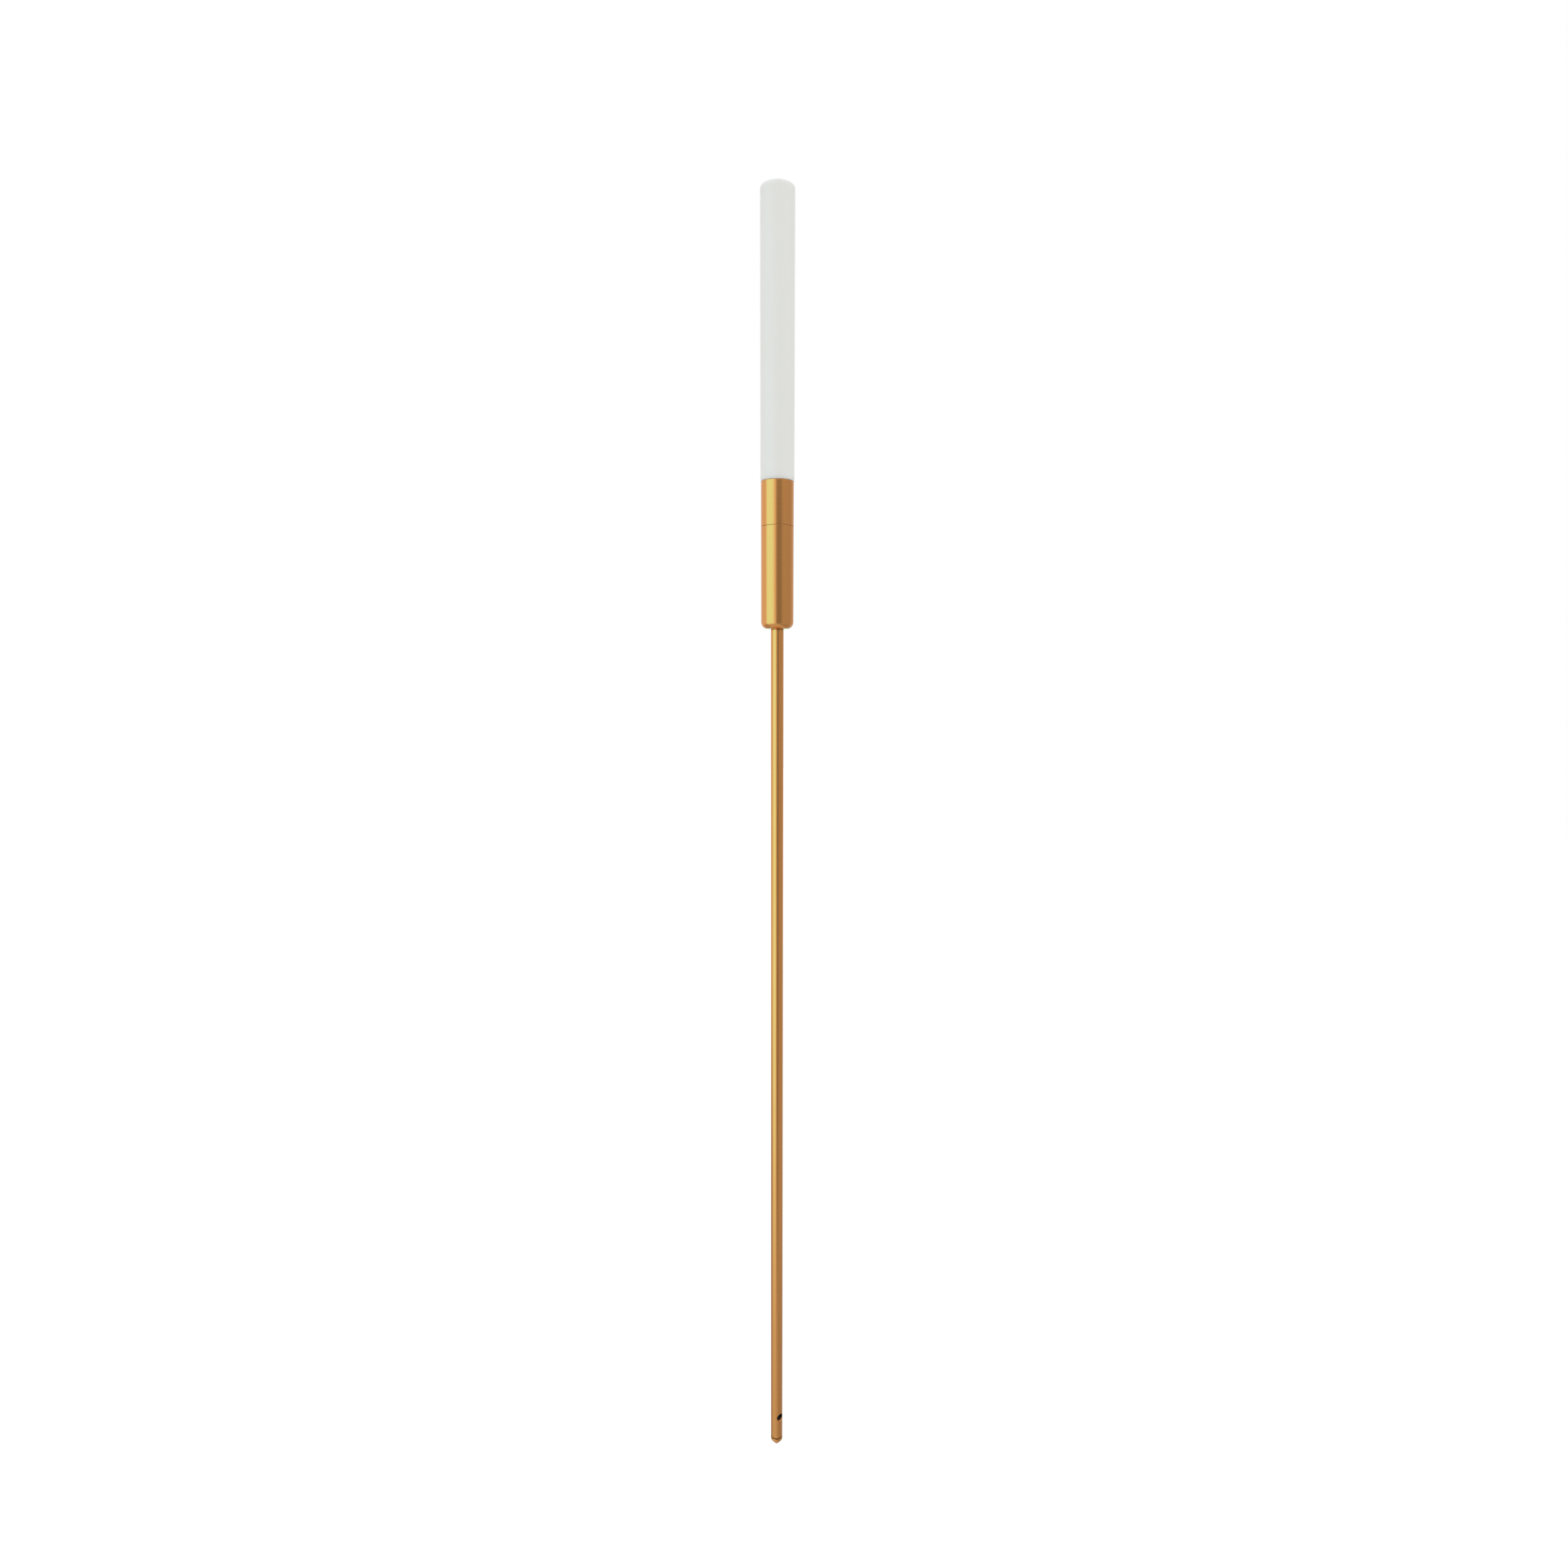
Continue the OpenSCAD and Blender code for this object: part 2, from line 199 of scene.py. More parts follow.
def new_finish(name):
    material = bpy.data.materials.new(name)
    material.use_nodes = True
    return material, material.node_tree, material.node_tree.nodes["Principled BSDF"]


def skin(tree, shader, pattern, rough, depth_mm):
    """Let one pattern vary the roughness and raise the bump."""
    low_mark, high_mark = MARK_RANGE
    span = {"Value": pattern, "From Min": low_mark, "From Max": high_mark}
    span.update({"To Min": rough[0], "To Max": rough[1]})
    rub = add(tree, "ShaderNodeMapRange", inputs=span)
    tree.links.new(rub.outputs[0], shader.inputs["Roughness"])
    relief = {"Height": pattern, "Distance": depth_mm * MM, "Strength": 1.0}
    bump = add(tree, "ShaderNodeBump", inputs=relief)
    tree.links.new(bump.outputs[0], shader.inputs["Normal"])


def metal(name, hexes, rough, pitch_mm, depth_mm, broad_mm=(9, 9, 14), corner_mm=0.0):
    material, tree, shader = new_finish(name)
    lines = marks(tree, pitch_mm)
    broad = marks(tree, broad_mm, BROAD_DETAIL)
    tint = mixed(tree, broad, colour(hexes[0]), colour(hexes[1]))
    # Painted shade: where little of the sky is open, the colour is darkened towards a near-black brown.
    if corner_mm:
        reach = {"Distance": corner_mm * MM}
        sky = add(tree, "ShaderNodeAmbientOcclusion", {"samples": CORNER_SAMPLES}, reach)
        unshaded = smooth_step(tree, sky.outputs["AO"], *CORNER_FADE)
        tint = mixed(tree, unshaded, colour(CORNER_SHADE_COLOUR), tint)
    tree.links.new(tint, shader.inputs["Base Color"])
    skin(tree, shader, lines, rough, depth_mm)
    shader.inputs["Metallic"].default_value = 1.0
    return material


# Painted shade darkens the colour where less of the sky than this is open.
print("painted shade darkens where less than", CORNER_FADE[1], "of the sky is open")

# %% [markdown]
# Gold anodised aluminium: turned, blasted to a satin skin and then anodised with a gold dye. The oxide
# keeps the metal's shine but tints every reflection, so the brightest streak is yellow and the shaded
# side is brown. The tool's feed was about 0.08 mm, too fine to see at this size, so the rings are drawn
# 0.4 mm apart and very shallow.

# %% Gold anodised aluminium, turned
GOLD = ("#F6B16A", "#F3AC64")
CORNER = 1.0  # how far from a corner the painted shade reaches, in mm
turned_gold = metal(
    "gold_anodised_aluminium_turned",
    GOLD,
    rough=(0.2, 0.24),
    pitch_mm=(60, 60, 0.4),
    depth_mm=0.0002,
    broad_mm=(6, 6, 25),
    corner_mm=CORNER,
)
print("turned gold:", len(turned_gold.node_tree.nodes), "nodes")

# %% [markdown]
# The rod is the same metal, but it is a drawn tube: its faint lines run along it. They were 0.05 mm
# apart and are drawn 0.5 mm apart, so that they still read as lines on a rod this thin.

# %% Gold anodised aluminium, drawn
drawn_gold = metal(
    "gold_anodised_aluminium_drawn",
    GOLD,
    rough=(0.2, 0.25),
    pitch_mm=(0.5, 0.5, 60),
    depth_mm=0.0003,
    broad_mm=(5, 5, 45),
    corner_mm=CORNER,
)
print("drawn gold:", len(drawn_gold.node_tree.nodes), "nodes")

# %% [markdown]
# The hidden pieces are ordinary workshop metals. Turned steel keeps fine rings, bearing steel is ground
# and polished, spring steel and blackened steel are rolled and then heat-treated, brass is the cage and
# the insert, and plain aluminium is the spacer.

# %% Metals of the hidden pieces
steel = metal("turned_steel", ("#C4C6C9", "#B4B7BB"), (0.24, 0.36), (40, 40, 0.15), 0.002)
bearing_steel = metal("bearing_steel", ("#CDD0D3", "#C2C5C9"), (0.1, 0.16), (30, 30, 0.1), 0.0005)
spring_steel = metal("spring_steel", ("#8F9296", "#7C8085"), (0.28, 0.4), (0.3, 0.3, 0.3), 0.002)
black_steel = metal("blackened_steel", ("#2B2A29", "#1F1F20"), (0.34, 0.5), (0.2, 0.2, 0.2), 0.003)
brass = metal("brass", ("#D9B45F", "#C79E4C"), (0.2, 0.32), (20, 20, 0.12), 0.0015)
aluminium = metal("plain_aluminium", ("#D3D4D6", "#C5C7CA"), (0.25, 0.38), (40, 40, 0.15), 0.002)
hidden = (steel, bearing_steel, spring_steel, black_steel, brass, aluminium)
print("hidden metals:", ", ".join(material.name for material in hidden))

# %% [markdown]
# Frosted acrylic, black nylon and nitrile rubber aren't metals. Light enters the acrylic and comes out
# again a few millimetres away, which evens out its shading and makes it glow softly. Its blasted skin
# has grains of about 0.1 mm, drawn at 0.35 mm so that they show close up. The other two are plain
# moulded and extruded blacks with a faint skin.


# %% Finish a plastic
PLASTIC_DETAIL = 2.0


def plastic(name, hexes, rough, grain_mm, depth_mm, ior, glow_mm=0.0, broad_mm=(12, 12, 30)):
    material, tree, shader = new_finish(name)
    grain = marks(tree, (grain_mm, grain_mm, grain_mm), PLASTIC_DETAIL)
    broad = marks(tree, broad_mm, BROAD_DETAIL)
    tint = mixed(tree, broad, colour(hexes[0]), colour(hexes[1]))
    tree.links.new(tint, shader.inputs["Base Color"])
    skin(tree, shader, grain, rough, depth_mm)
    shader.inputs["IOR"].default_value = ior
    if glow_mm:
        shader.inputs["Subsurface Weight"].default_value = 1.0
        shader.inputs["Subsurface Radius"].default_value = (1.0, 1.0, 1.0)
        shader.inputs["Subsurface Scale"].default_value = glow_mm * MM
    return material


acrylic = plastic(
    "frosted_acrylic", ("#EDEEEA", "#EBECE8"), (0.3, 0.38), 0.35, 0.002, ior=1.49, glow_mm=2.5
)
nylon = plastic("black_nylon", ("#0B0B0C", "#121212"), (0.42, 0.55), 0.3, 0.004, ior=1.53)
rubber = plastic("nitrile_rubber", ("#161616", "#1E1E1E"), (0.6, 0.75), 0.25, 0.006, ior=1.52)
print("frosted acrylic:", len(acrylic.node_tree.nodes), "nodes")

# %% [markdown]
# ## One lathe for every turned piece
#
# Three Geometry Nodes trees make the pieces. They begin the same way, with named inputs, and they end
# the same way: shaded smooth, except at edges sharper than a limit, which stay crisp.


# %% Start a tree, and end it crisp
def new_tree(name, sockets, result):
    """A Geometry Nodes tree with named inputs; gives the tree and its input sockets."""
    tree = bpy.data.node_groups.new(name, "GeometryNodeTree")
    tree.is_modifier = True
    for label, kind in sockets.items():
        tree.interface.new_socket(label, in_out="INPUT", socket_type="NodeSocket" + kind)
    tree.interface.new_socket(result, in_out="OUTPUT", socket_type="NodeSocketGeometry")
    return tree, add(tree, "NodeGroupInput").outputs


def finished(tree, geometry, given):
    """Smooth shading with crisp edges, real geometry instead of instances, and the finish."""
    smooth = {"Geometry": geometry, "Shade Smooth": True}
    faces = add(tree, "GeometryNodeSetShadeSmooth", {"domain": "FACE"}, smooth).outputs[0]
    angle = add(tree, "GeometryNodeInputMeshEdgeAngle").outputs[0]
    limit = {"A": angle, "B": given["Crisp Angle"]}
    sharp = add(tree, "FunctionNodeCompare", inputs=limit).outputs[0]
    crisp = {"Geometry": faces, "Selection": sharp, "Shade Smooth": False}
    edges = add(tree, "GeometryNodeSetShadeSmooth", {"domain": "EDGE"}, crisp).outputs[0]
    real = add(tree, "GeometryNodeRealizeInstances", inputs={0: edges}).outputs[0]
    dressed = {0: real, "Material": given["Finish"]}
    last = add(tree, "GeometryNodeSetMaterial", inputs=dressed).outputs[0]
    tree.links.new(last, add(tree, "NodeGroupOutput").inputs[0])
    print(tree.name, "-", len(tree.nodes), "nodes")
    return tree


# %% [markdown]
# On a lathe the bar spins and the tool follows an outline. Geometry Nodes can do the same: the outline
# is swept round a small circle about the Z axis with Curve to Mesh. A Screw modifier could also do it,
# but the tree keeps the number of sides, the limit and the finish as named inputs.
#
# The circle that the outline follows is only a millimetre in radius, so each outline is shifted inwards
# by that much when it is drawn. The points on the axis then meet exactly and are merged.

# %% The lathe tree
HUB = 1 * MM
MERGE = 0.001 * MM


def lathe_tree():
    sockets = {"Outline": "Geometry", "Sides": "Int", "Crisp Angle": "Float", "Finish": "Material"}
    tree, given = new_tree("Lathe", sockets, "Piece")
    outline = add(tree, "GeometryNodeMeshToCurve", inputs={0: given["Outline"]}).outputs[0]
    circle = {"Resolution": given["Sides"], "Radius": HUB}
    hub = add(tree, "GeometryNodeCurvePrimitiveCircle", {"mode": "RADIUS"}, circle)
    level = {"Curve": hub.outputs["Curve"]}
    upright = add(tree, "GeometryNodeSetCurveNormal", {"mode": "Z_UP"}, level).outputs[0]
    sweep = {"Curve": upright, "Profile Curve": outline}
    swept = add(tree, "GeometryNodeCurveToMesh", inputs=sweep).outputs[0]
    doubles = {"Geometry": swept, "Distance": MERGE}
    merged = add(tree, "GeometryNodeMergeByDistance", inputs=doubles).outputs[0]
    return finished(tree, merged, given)


lathe = lathe_tree()

# %% [markdown]
# The hole for the cord is drilled across the finished tube and countersunk, and it is cut the same way
# here: a straight cutter and two cones, one for each side, are taken out of the turned piece. The tree
# is a second modifier, so one drilling tree serves both the tube and the black core inside it.


# %% The drilling tree
HOLE_SIDES = 64
LONG_DRILL = 20 * MM
SINK_FLARE = 3.0  # the cone goes on past the surface, to this many times the countersink


def drill_tree():
    sizes = ("Height", "Reach", "Wall", "Hole Radius", "Countersink", "Crisp Angle")
    sockets = {"Piece": "Geometry", **dict.fromkeys(sizes, "Float"), "Finish": "Material"}
    tree, given = new_tree("Cross drill", sockets, "Drilled")
    hole, sink, reach, wall = (given[size] for size in ("Hole Radius", "Countersink", "Reach", "Wall"))
    straight = {"Vertices": HOLE_SIDES, "Radius": hole, "Depth": LONG_DRILL}
    shaft = add(tree, "GeometryNodeMeshCylinder", inputs=straight).outputs["Mesh"]
    flare = {
        "Vertices": HOLE_SIDES,
        "Radius Bottom": number(tree, "SUBTRACT", hole, sink),
        "Radius Top": number(tree, "MULTIPLY_ADD", sink, SINK_FLARE, hole),
        "Depth": number(tree, "ADD", wall, wall),
    }
    cone = add(tree, "GeometryNodeMeshCone", inputs=flare).outputs["Mesh"]
    inside = number(tree, "SUBTRACT", reach, wall)
    start = add(tree, "ShaderNodeCombineXYZ", inputs={"Z": inside}).outputs[0]
    out = {"Geometry": cone, "Translation": start}
    front = add(tree, "GeometryNodeTransform", inputs=out).outputs[0]
    turn = {"Geometry": front, "Rotation": (math.pi, 0.0, 0.0)}
    rear = add(tree, "GeometryNodeTransform", inputs=turn).outputs[0]
    place = add(tree, "ShaderNodeCombineXYZ", inputs={"Z": given["Height"]}).outputs[0]
    piece = given["Piece"]
    for cutter in (shaft, front, rear):
        across = {"Geometry": cutter, "Rotation": (0.0, math.pi / 2, 0.0), "Translation": place}
        laid = add(tree, "GeometryNodeTransform", inputs=across).outputs[0]
        cut = add(tree, "GeometryNodeMeshBoolean", {"operation": "DIFFERENCE", "solver": "EXACT"})
        tree.links.new(piece, cut.inputs[0])
        tree.links.new(laid, cut.inputs[1])
        piece = cut.outputs["Mesh"]
    return finished(tree, piece, given)


drill = drill_tree()

# %% [markdown]
# The balls of a bearing repeat round a circle, so they are one sphere placed on the points of a ring.
# Eight balls are cheap here, and the same tree would make eighty. A modifier always hands its tree the
# object's own mesh: here that is an empty one, called Start, and the tree doesn't use it.


# %% The ring of balls
BALL_SEGMENTS, BALL_RINGS = 32, 16


def ball_tree():
    sockets = {
        "Start": "Geometry",
        "Count": "Int",
        **dict.fromkeys(("Pitch Radius", "Ball Radius", "Height", "Crisp Angle"), "Float"),
        "Finish": "Material",
    }
    tree, given = new_tree("Ring of balls", sockets, "Balls")
    circle = {"Vertices": given["Count"], "Radius": given["Pitch Radius"]}
    ring = add(tree, "GeometryNodeMeshCircle", inputs=circle).outputs[0]
    sphere = {"Segments": BALL_SEGMENTS, "Rings": BALL_RINGS, "Radius": given["Ball Radius"]}
    ball = add(tree, "GeometryNodeMeshUVSphere", inputs=sphere).outputs["Mesh"]
    places = {"Points": ring, "Instance": ball}
    placed = add(tree, "GeometryNodeInstanceOnPoints", inputs=places).outputs[0]
    rise = add(tree, "ShaderNodeCombineXYZ", inputs={"Z": given["Height"]}).outputs[0]
    lift = {"Geometry": placed, "Translation": rise}
    lifted = add(tree, "GeometryNodeTransform", inputs=lift).outputs[0]
    return finished(tree, lifted, given)


ring_of_balls = ball_tree()

# %% [markdown]
# ## From an outline to a finished piece
#
# An outline is a short list of corners: how far from the axis, how high, and how much the corner is
# rounded. Real edges are never knife-sharp, and the thin bright line on a rounded edge is what makes a
# small metal part look real, so even 0.2 mm is worth drawing.
#
# Each corner is rounded with a true arc: its centre lies on the line that halves the corner, and the
# arc starts and ends where it meets the two sides without a kink.
#
# A smooth shader blends the tilt of neighbouring faces, so the long flank next to a rounded edge would
# be shaded as if it bulged. A supporting ring close to each end of the arc keeps that blend short.

# %% Round the corners of an outline
FINE_STEPS = 5
WIDE_STEPS = 24
WIDE_BEND = 1 * MM  # a bend wider than this gets the larger number of steps
SUPPORT = 0.3 * MM
SUPPORT_SHARE = 0.25  # at most this share of the straight that is left


def support(end, way, room_left):
    return end + way * min(SUPPORT, SUPPORT_SHARE * room_left)


def rounded(corners):
    points = []
    for i, (r, z, bend) in enumerate(corners):
        here = Vector((r, z))
        if not bend:
            points.append(here)
            continue
        before = Vector(corners[i - 1][:2]) - here
        after = Vector(corners[(i + 1) % len(corners)][:2]) - here
        back, ahead = before.normalized(), after.normalized()
        half = back.angle(ahead) / 2
        reach = bend / math.tan(half)
        centre = here + (back + ahead).normalized() * bend / math.sin(half)
        first = here + back * reach - centre
        last = here + ahead * reach - centre
        sweep = math.copysign(math.pi - 2 * half, first.x * last.y - first.y * last.x)
        steps = WIDE_STEPS if bend > WIDE_BEND else FINE_STEPS
        points.append(support(centre + first, back, before.length - reach))
        for k in range(steps + 1):
            points.append(centre + Matrix.Rotation(sweep * k / steps, 2) @ first)
        points.append(support(centre + last, ahead, after.length - reach))
    return points


trial = rounded([(0, 0, 0), (5 * MM, 0, 0.2 * MM), (5 * MM, 9 * MM, 0), (0, 9 * MM, 0)])
print("one rounded corner turns an outline of 4 points into", len(trial), "points")

# %% [markdown]
# The outline becomes a mesh of edges only, drawn flat, and the lathe modifier turns it. A modifier's
# inputs are reached through the identifiers of the tree's sockets. Once the result is right it is baked
# into a plain mesh: the modifier goes, doubled points are merged, and the faces are made to look out.

# %% Turn, drill and bake
SIDES = 128
CRISP_ANGLE = math.radians(30)
DOUBLES = 0.0005 * MM


def with_tree(piece, tree, **values):
    modifier = piece.modifiers.new(tree.name, "NODES")
    modifier.node_group = tree
    for item in tree.interface.items_tree:
        name = item.name.replace(" ", "_").lower()
        if item.in_out == "INPUT" and name in values:
            modifier[item.identifier] = values[name]
    return piece


def turned(name, outline, finish, closed):
    mesh = bpy.data.meshes.new(name)
    count = len(outline)
    edges = [(i, (i + 1) % count) for i in range(count if closed else count - 1)]
    mesh.from_pydata([(p.x - HUB, -p.y, 0.0) for p in outline], edges, [])
    piece = bpy.data.objects.new(name, mesh)
    bpy.context.scene.collection.objects.link(piece)
    return with_tree(piece, lathe, sides=SIDES, crisp_angle=CRISP_ANGLE, finish=finish)


def bake(piece):
    bpy.context.view_layer.update()
    shaped = piece.evaluated_get(bpy.context.evaluated_depsgraph_get())
    result = bpy.data.meshes.new_from_object(shaped)
    piece.modifiers.clear()
    work = bmesh.new()
    work.from_mesh(result)
    bmesh.ops.remove_doubles(work, verts=work.verts, dist=DOUBLES)
    bmesh.ops.recalc_face_normals(work, faces=work.faces)
    work.to_mesh(result)
    open_edges = sum(not edge.is_manifold for edge in work.edges)
    volume = round(work.calc_volume() / MM**3)
    work.free()
    result.name = piece.name
    piece.data = result
    made = (len(result.polygons), "faces,", open_edges, "open edges,", volume, "mm3")
    print(piece.name, "-", *made)
    return piece


def stands_for(piece, node, body):
    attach(piece, body)
    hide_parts(node)


print("each turned piece has", SIDES, "sides")

# %% [markdown]
# ## The grip
#
# The grip is a frosted acrylic tube. It could be a solid bar, but a stick that is waved about is light,
# so it is a tube closed by a plug at its far end, flush with the end face.

# %% Turn the grip tube and its plug
FIT = 0.015 * MM  # radial gap between pieces that are pressed or bonded together
EDGE = 0.2 * MM
GRIP_BORE = 4.5 * MM
PLUG_HEAD = 2 * MM

grip_r = radius("grip_tube")
head_r = radius("grip_end_plug")
head_low = high("grip_tube") - PLUG_HEAD
grip_outline = rounded(
    [
        (GRIP_BORE, low("grip_tube"), 0),
        (grip_r, low("grip_tube"), EDGE),
        (grip_r, high("grip_tube"), EDGE),
        (head_r + FIT, high("grip_tube"), EDGE / 4),
        (head_r + FIT, head_low, 0),
        (GRIP_BORE, head_low, 0),
    ]
)
plug_outline = rounded(
    [
        (0, low("grip_end_plug"), 0),
        (GRIP_BORE - FIT, low("grip_end_plug"), EDGE),
        (GRIP_BORE - FIT, head_low, 0),
        (head_r, head_low, 0),
        (head_r, high("grip_end_plug"), EDGE / 2),
        (0, high("grip_end_plug"), 0),
    ]
)
grip_tube = bake(turned("grip_sleeve", grip_outline, acrylic, closed=True))
stands_for(grip_tube, "grip_tube", "grip")
grip_plug = bake(turned("grip_cap", plug_outline, acrylic, closed=False))
stands_for(grip_plug, "grip_end_plug", "grip")

# %% [markdown]
# ## The ferrule
#
# The ferrule is two gold pieces with a hairline seam where one turns against the other. The collar above
# the seam carries a spigot with two glue grooves that goes up into the grip. Its lower face has a groove
# for the soft ring that keeps dust out of the bearings.

# %% Turn the collar
SEAM = 0.1 * MM
SEAM_EDGE = 0.08 * MM
THREAD_SPARE = 0.1 * MM  # the thread is this much deeper than the spindle reaches
SPINDLE_BORE = 2.5 * MM
KEY_WAY = 1.7 * MM
SEAL_WIDTH = 0.94 * MM
GLUE_GROOVES = 2
GLUE_WIDTH, GLUE_DEPTH = 1 * MM, 0.3 * MM

seam_top = high("housing") + SEAM
spigot_low = low("grip_tube")
spigot_r = GRIP_BORE - FIT
seal_out = radius("dust_seal") + FIT
seal_in = seal_out - SEAL_WIDTH
thread_top = high("spindle") + THREAD_SPARE
collar_corners = [
    (SPINDLE_BORE, low("collar"), 0),
    (radius("hub_shim"), low("collar"), EDGE),
    (radius("hub_shim"), seam_top, 0),
    (seal_in, seam_top, 0),
    (seal_in, high("dust_seal"), 0),
    (seal_out, high("dust_seal"), 0),
    (seal_out, seam_top, 0),
    (radius("collar"), seam_top, SEAM_EDGE),
    (radius("collar"), spigot_low, EDGE),
    (spigot_r, spigot_low, 0),
]
spigot_length = high("collar") - spigot_low
for groove in range(1, GLUE_GROOVES + 1):
    groove_low = spigot_low + groove * spigot_length / (GLUE_GROOVES + 1) - GLUE_WIDTH / 2
    for depth, step in ((0, 0), (GLUE_DEPTH, 0), (GLUE_DEPTH, GLUE_WIDTH), (0, GLUE_WIDTH)):
        collar_corners.append((spigot_r - depth, groove_low + step, 0))
collar_corners += [
    (spigot_r, high("collar"), 2 * EDGE),
    (KEY_WAY, high("collar"), 0),
    (KEY_WAY, thread_top, 0),
    (SPINDLE_BORE, thread_top, 0),
]
collar = bake(turned("ferrule_collar", rounded(collar_corners), turned_gold, closed=True))
stands_for(collar, "collar", "grip")

# %% [markdown]
# The housing below the seam is a cup for the bearings. A ledge holds the lower one, a groove near the
# mouth holds a split ring, and the rod is seated in its floor. Its lower end is well rounded, so that
# the ribbon can't snag on it.

# %% Turn the housing
BOTTOM_ROUND = 3.2 * MM
RING_GROOVE = 0.4 * MM
LEDGE = 0.9 * MM
SCREW_HOLE = 1.35 * MM
ROD_STEP = 0.3 * MM  # the rod's seated end is this much thinner, so its shoulder meets the housing

race_r = radius("upper_bearing_outer_race")
bearing_r = race_r + FIT
groove_r = bearing_r + RING_GROOVE
cavity_r = race_r - LEDGE
cavity_floor = low("rod_washer")
ledge_z = low("lower_bearing_outer_race")
seat_top = high("rod_tube")
seat_r = radius("rod_tube") - ROD_STEP
housing_outline = rounded(
    [
        (bearing_r, high("housing"), 0),
        (radius("housing"), high("housing"), SEAM_EDGE),
        (radius("housing"), low("housing"), BOTTOM_ROUND),
        (seat_r + FIT, low("housing"), 0),
        (seat_r + FIT, seat_top, 0),
        (SCREW_HOLE, seat_top, 0),
        (SCREW_HOLE, cavity_floor, 0),
        (cavity_r, cavity_floor, 0),
        (cavity_r, ledge_z, 0),
        (bearing_r, ledge_z, 0),
        (bearing_r, low("retaining_ring"), 0),
        (groove_r, low("retaining_ring"), 0),
        (groove_r, high("retaining_ring"), 0),
        (bearing_r, high("retaining_ring"), 0),
    ]
)
housing = bake(turned("ferrule_housing", housing_outline, turned_gold, closed=True))
stands_for(housing, "housing", "rod")

# %% [markdown]
# ## The rod
#
# The rod is a thin drawn tube, drilled across near its end. Its outline is plain, but close rings are
# added where the hole will be, because a cut through long faces would leave ragged shading.

# %% Turn and drill the rod
ROD_WALL = 0.8 * MM
TUBE_HOLE = 1.7 * MM
TUBE_SINK = 0.2 * MM
RINGS, RING_PITCH = 12, 0.25 * MM

rod_r = radius("rod_tube")
mounts = {mount["name"]: mount for mount in frame["record"]["mounts"]}
eyelet_z = mounts["ribbon_eyelet"]["pos_m"][2]


def close_rings(r):
    return [(r, eyelet_z + k * RING_PITCH, 0) for k in range(-RINGS, RINGS + 1)]


rod_outline = rounded(
    [
        (rod_r - ROD_WALL, low("rod_tube"), 0),
        (rod_r, low("rod_tube"), EDGE / 2),
        *close_rings(rod_r),
        (rod_r, low("housing"), 0),
        (seat_r, low("housing"), 0),
        (seat_r, seat_top, EDGE),
        (rod_r - ROD_WALL, seat_top, 0),
        *reversed(close_rings(rod_r - ROD_WALL)),
    ]
)
rod = turned("rod_stem", rod_outline, drawn_gold, closed=True)
with_tree(
    rod,
    drill,
    height=eyelet_z,
    reach=rod_r,
    wall=ROD_WALL,
    hole_radius=TUBE_HOLE,
    countersink=TUBE_SINK,
    crisp_angle=CRISP_ANGLE,
    finish=drawn_gold,
)
bake(rod)
stands_for(rod, "rod_tube", "rod")

# %% [markdown]
# The black core inside the tube is nylon. The ribbon's cord runs through it and never rubs on the
# metal's edge, so the core's own hole is smaller than the tube's and its mouth is softened.

# %% Turn and drill the core
STUD_HOLE = 1.015 * MM
STUD_DEPTH = 2.9 * MM
CORE_SINK = 0.15 * MM
CORE_MOUTH = 0.3 * MM

core_r = radius("tip_core")
cord_hole = mounts["ribbon_eyelet"]["dims"]["r_mm"] * MM
core_outline = rounded(
    [
        (0, low("tip_core") + STUD_DEPTH, 0),
        (STUD_HOLE, low("tip_core") + STUD_DEPTH, 0),
        (STUD_HOLE, low("tip_core"), 0),
        (core_r, low("tip_core"), EDGE),
        *close_rings(core_r),
        (core_r, high("tip_core"), EDGE),
        (0, high("tip_core"), 0),
    ]
)
core = turned("cord_core", core_outline, nylon, closed=False)
with_tree(
    core,
    drill,
    height=eyelet_z,
    reach=core_r,
    wall=CORE_MOUTH,
    hole_radius=cord_hole,
    countersink=CORE_SINK,
    crisp_angle=CRISP_ANGLE,
    finish=nylon,
)
bake(core)
stands_for(core, "tip_core", "rod")

# %% [markdown]
# The end plug closes the tube. From the top it has a stud that holds the core, a shank that fills the
# tube, a narrow groove, a short land as wide as the rod, and a cone with a round end.

# %% Turn the end plug
STUD_R = 1 * MM
GROOVE_WIDTH, GROOVE_DEPTH = 0.6 * MM, 0.35 * MM
NOSE_LENGTH, NOSE_ROUND = 3.1 * MM, 1.3 * MM
NOSE_STEPS = 16


def nose(r, tip):
    """A cone from radius r that runs smoothly into a round end, down to the axis."""
    edge = tip + NOSE_LENGTH
    centre = tip + NOSE_ROUND
    flank = math.hypot(r, edge - centre)
    tangent = math.atan2(edge - centre, r) - math.acos(NOSE_ROUND / flank)
    points = []
    for k in range(NOSE_STEPS + 1):
        angle = tangent + (-math.pi / 2 - tangent) * k / NOSE_STEPS
        across = 0.0 if k == NOSE_STEPS else NOSE_ROUND * math.cos(angle)
        points.append((across, centre + NOSE_ROUND * math.sin(angle), 0))
    return points


rod_end = low("rod_tube")
tip_outline = rounded(
    [
        (0, high("tip_plug"), 0),
        (STUD_R, high("tip_plug"), EDGE),
        (STUD_R, low("tip_core"), 0),
        (core_r, low("tip_core"), EDGE),
        (core_r, rod_end, 0),
        (rod_r - GROOVE_DEPTH, rod_end, 0),
        (rod_r - GROOVE_DEPTH, rod_end - GROOVE_WIDTH, 0),
        (rod_r, rod_end - GROOVE_WIDTH, EDGE / 2),
        (rod_r, low("tip_plug") + NOSE_LENGTH, EDGE),
        *nose(rod_r, low("tip_plug")),
    ]
)
tip = bake(turned("end_plug", tip_outline, turned_gold, closed=False))
stands_for(tip, "tip_plug", "rod")

